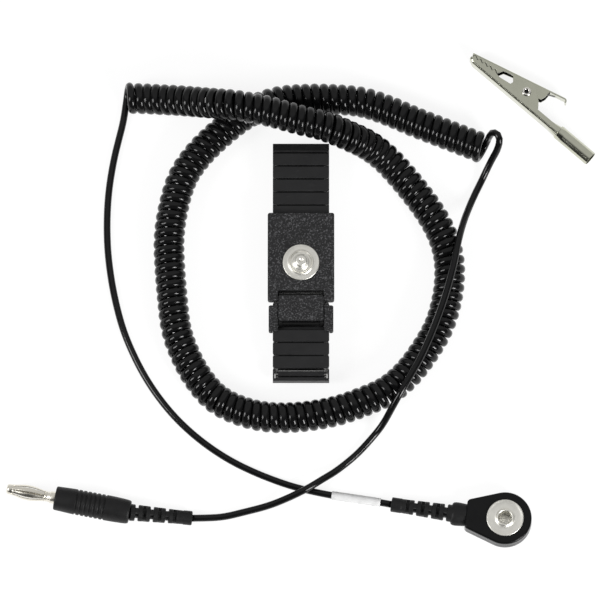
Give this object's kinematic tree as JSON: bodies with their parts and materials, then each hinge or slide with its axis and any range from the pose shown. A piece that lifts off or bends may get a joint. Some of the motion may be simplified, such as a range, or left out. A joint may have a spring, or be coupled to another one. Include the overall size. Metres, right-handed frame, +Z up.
{
  "type": "esd wrist strap",
  "caption": "Earthing wrist strap with a metal expansion band, a clasp with a snap stud, a coiled cord with a snap socket and a banana plug, and a crocodile clip.",
  "frame": {"origin": "on the surface that the strap lies on, under the axis of the snap stud", "axes": "+Z up from the surface and along the snap stud, +Y along the band away from the latch, +X across the band towards the clip"},
  "size_m": [0.1839, 0.1575, 0.0206],
  "materials": {
    "clasp_plastic": "fine spark texture",
    "nickel": "bright nickel plate",
    "spring_steel": "satin",
    "black_links": "satin black coating",
    "cord_jacket": "glossy",
    "moulded_rubber": "satin",
    "label_film": "semi-gloss",
    "resistor_body": "lacquered"
  },
  "bodies": {
    "clasp": {"clasp_body": "clasp_plastic", "clasp_backplate": "spring_steel", "snap_stud": "nickel", "stud_rivet": "nickel", "latch_frame": "clasp_plastic", "latch_pin": "black_links", "band_anchor_upper": "black_links", "band_anchor_lower": "black_links", "banana_core": "nickel", "banana_lantern_spring": "nickel", "plug_grip": "moulded_rubber", "plug_strain_relief": "moulded_rubber", "lead_to_plug": "cord_jacket", "coil_cord": "cord_jacket", "lead_to_snap": "cord_jacket", "label_sleeve": "label_film", "snap_strain_relief": "moulded_rubber", "snap_housing_base": "moulded_rubber", "snap_housing_cover": "moulded_rubber", "snap_disc": "nickel", "snap_ring_spring": "spring_steel", "resistor": "resistor_body", "clip_lower_jaw": "nickel", "clip_rivet": "nickel", "clip_spring": "spring_steel"},
    "lever": {"latch_lever": "clasp_plastic"},
    "clip_jaw": {"clip_upper_jaw": "nickel"},
    "upper_1": {"band_link_upper_1": "black_links"},
    "upper_2": {"band_link_upper_2": "black_links"},
    "upper_3": {"band_link_upper_3": "black_links"},
    "upper_4": {"band_link_upper_4": "black_links"},
    "upper_5": {"band_link_upper_5": "black_links", "band_fold_upper": "black_links"},
    "rear_01": {"band_link_rear_01": "black_links"},
    "rear_02": {"band_link_rear_02": "black_links"},
    "rear_03": {"band_link_rear_03": "black_links"},
    "rear_04": {"band_link_rear_04": "black_links"},
    "rear_05": {"band_link_rear_05": "black_links"},
    "rear_06": {"band_link_rear_06": "black_links"},
    "rear_07": {"band_link_rear_07": "black_links"},
    "rear_08": {"band_link_rear_08": "black_links"},
    "rear_09": {"band_link_rear_09": "black_links"},
    "rear_10": {"band_link_rear_10": "black_links"},
    "rear_11": {"band_link_rear_11": "black_links"},
    "rear_12": {"band_link_rear_12": "black_links"},
    "rear_13": {"band_link_rear_13": "black_links"},
    "rear_14": {"band_link_rear_14": "black_links"},
    "rear_15": {"band_link_rear_15": "black_links"},
    "rear_16": {"band_link_rear_16": "black_links"},
    "rear_17": {"band_link_rear_17": "black_links"},
    "lower_1": {"band_link_lower_1": "black_links"},
    "lower_2": {"band_link_lower_2": "black_links"},
    "lower_3": {"band_link_lower_3": "black_links", "band_fold_lower": "black_links"}
  },
  "joints": [
    {"name": "lever_hinge", "type": "hinge", "parent": "clasp", "child": "lever", "pos_m": [0, -0.0192, 0.0083], "axis": [1, 0, 0], "range_deg": [0, 105]},
    {"name": "clip_pivot", "type": "hinge", "parent": "clasp", "child": "clip_jaw", "pos_m": [0.0706, 0.0558, 0.003], "axis": [0, 0, -1], "range_deg": [0, 22], "stiffness_Nm_per_rad": 0.03, "springref_deg": -57.3, "deforming": ["clip_spring"]},
    {"name": "band_stretch", "type": "slide", "parent": "clasp", "child": "upper_1", "axis": [0, 1, 0], "range_m": [0, 0.0013], "stiffness_N_per_m": 8000},
    {"name": "upper_slide_2", "type": "slide", "parent": "upper_1", "child": "upper_2", "axis": [0, 1, 0], "range_m": [0, 0.0013]},
    {"name": "upper_slide_3", "type": "slide", "parent": "upper_2", "child": "upper_3", "axis": [0, 1, 0], "range_m": [0, 0.0013]},
    {"name": "upper_slide_4", "type": "slide", "parent": "upper_3", "child": "upper_4", "axis": [0, 1, 0], "range_m": [0, 0.0013]},
    {"name": "upper_slide_5", "type": "slide", "parent": "upper_4", "child": "upper_5", "axis": [0, 1, 0], "range_m": [0, 0.0013]},
    {"name": "rear_slide_01", "type": "slide", "parent": "upper_5", "child": "rear_01", "axis": [0, -1, 0], "range_m": [0, 0.0006118]},
    {"name": "rear_slide_02", "type": "slide", "parent": "rear_01", "child": "rear_02", "axis": [0, -1, 0], "range_m": [0, 0.0006118]},
    {"name": "rear_slide_03", "type": "slide", "parent": "rear_02", "child": "rear_03", "axis": [0, -1, 0], "range_m": [0, 0.0006118]},
    {"name": "rear_slide_04", "type": "slide", "parent": "rear_03", "child": "rear_04", "axis": [0, -1, 0], "range_m": [0, 0.0006118]},
    {"name": "rear_slide_05", "type": "slide", "parent": "rear_04", "child": "rear_05", "axis": [0, -1, 0], "range_m": [0, 0.0006118]},
    {"name": "rear_slide_06", "type": "slide", "parent": "rear_05", "child": "rear_06", "axis": [0, -1, 0], "range_m": [0, 0.0006118]},
    {"name": "rear_slide_07", "type": "slide", "parent": "rear_06", "child": "rear_07", "axis": [0, -1, 0], "range_m": [0, 0.0006118]},
    {"name": "rear_slide_08", "type": "slide", "parent": "rear_07", "child": "rear_08", "axis": [0, -1, 0], "range_m": [0, 0.0006118]},
    {"name": "rear_slide_09", "type": "slide", "parent": "rear_08", "child": "rear_09", "axis": [0, -1, 0], "range_m": [0, 0.0006118]},
    {"name": "rear_slide_10", "type": "slide", "parent": "rear_09", "child": "rear_10", "axis": [0, -1, 0], "range_m": [0, 0.0006118]},
    {"name": "rear_slide_11", "type": "slide", "parent": "rear_10", "child": "rear_11", "axis": [0, -1, 0], "range_m": [0, 0.0006118]},
    {"name": "rear_slide_12", "type": "slide", "parent": "rear_11", "child": "rear_12", "axis": [0, -1, 0], "range_m": [0, 0.0006118]},
    {"name": "rear_slide_13", "type": "slide", "parent": "rear_12", "child": "rear_13", "axis": [0, -1, 0], "range_m": [0, 0.0006118]},
    {"name": "rear_slide_14", "type": "slide", "parent": "rear_13", "child": "rear_14", "axis": [0, -1, 0], "range_m": [0, 0.0006118]},
    {"name": "rear_slide_15", "type": "slide", "parent": "rear_14", "child": "rear_15", "axis": [0, -1, 0], "range_m": [0, 0.0006118]},
    {"name": "rear_slide_16", "type": "slide", "parent": "rear_15", "child": "rear_16", "axis": [0, -1, 0], "range_m": [0, 0.0006118]},
    {"name": "rear_slide_17", "type": "slide", "parent": "rear_16", "child": "rear_17", "axis": [0, -1, 0], "range_m": [0, 0.0006118]},
    {"name": "lower_slide_1", "type": "slide", "parent": "clasp", "child": "lower_1", "axis": [0, -1, 0], "range_m": [0, 0.0013]},
    {"name": "lower_slide_2", "type": "slide", "parent": "lower_1", "child": "lower_2", "axis": [0, -1, 0], "range_m": [0, 0.0013]},
    {"name": "lower_slide_3", "type": "slide", "parent": "lower_2", "child": "lower_3", "axis": [0, -1, 0], "range_m": [0, 0.0013]}
  ],
  "couplings": [
    {"joint": "upper_slide_2", "follows": "band_stretch", "ratio": 1},
    {"joint": "upper_slide_3", "follows": "band_stretch", "ratio": 1},
    {"joint": "upper_slide_4", "follows": "band_stretch", "ratio": 1},
    {"joint": "upper_slide_5", "follows": "band_stretch", "ratio": 1},
    {"joint": "rear_slide_01", "follows": "band_stretch", "ratio": 0.47059},
    {"joint": "rear_slide_02", "follows": "band_stretch", "ratio": 0.47059},
    {"joint": "rear_slide_03", "follows": "band_stretch", "ratio": 0.47059},
    {"joint": "rear_slide_04", "follows": "band_stretch", "ratio": 0.47059},
    {"joint": "rear_slide_05", "follows": "band_stretch", "ratio": 0.47059},
    {"joint": "rear_slide_06", "follows": "band_stretch", "ratio": 0.47059},
    {"joint": "rear_slide_07", "follows": "band_stretch", "ratio": 0.47059},
    {"joint": "rear_slide_08", "follows": "band_stretch", "ratio": 0.47059},
    {"joint": "rear_slide_09", "follows": "band_stretch", "ratio": 0.47059},
    {"joint": "rear_slide_10", "follows": "band_stretch", "ratio": 0.47059},
    {"joint": "rear_slide_11", "follows": "band_stretch", "ratio": 0.47059},
    {"joint": "rear_slide_12", "follows": "band_stretch", "ratio": 0.47059},
    {"joint": "rear_slide_13", "follows": "band_stretch", "ratio": 0.47059},
    {"joint": "rear_slide_14", "follows": "band_stretch", "ratio": 0.47059},
    {"joint": "rear_slide_15", "follows": "band_stretch", "ratio": 0.47059},
    {"joint": "rear_slide_16", "follows": "band_stretch", "ratio": 0.47059},
    {"joint": "rear_slide_17", "follows": "band_stretch", "ratio": 0.47059},
    {"joint": "lower_slide_1", "follows": "band_stretch", "ratio": 1},
    {"joint": "lower_slide_2", "follows": "band_stretch", "ratio": 1},
    {"joint": "lower_slide_3", "follows": "band_stretch", "ratio": 1}
  ]
}
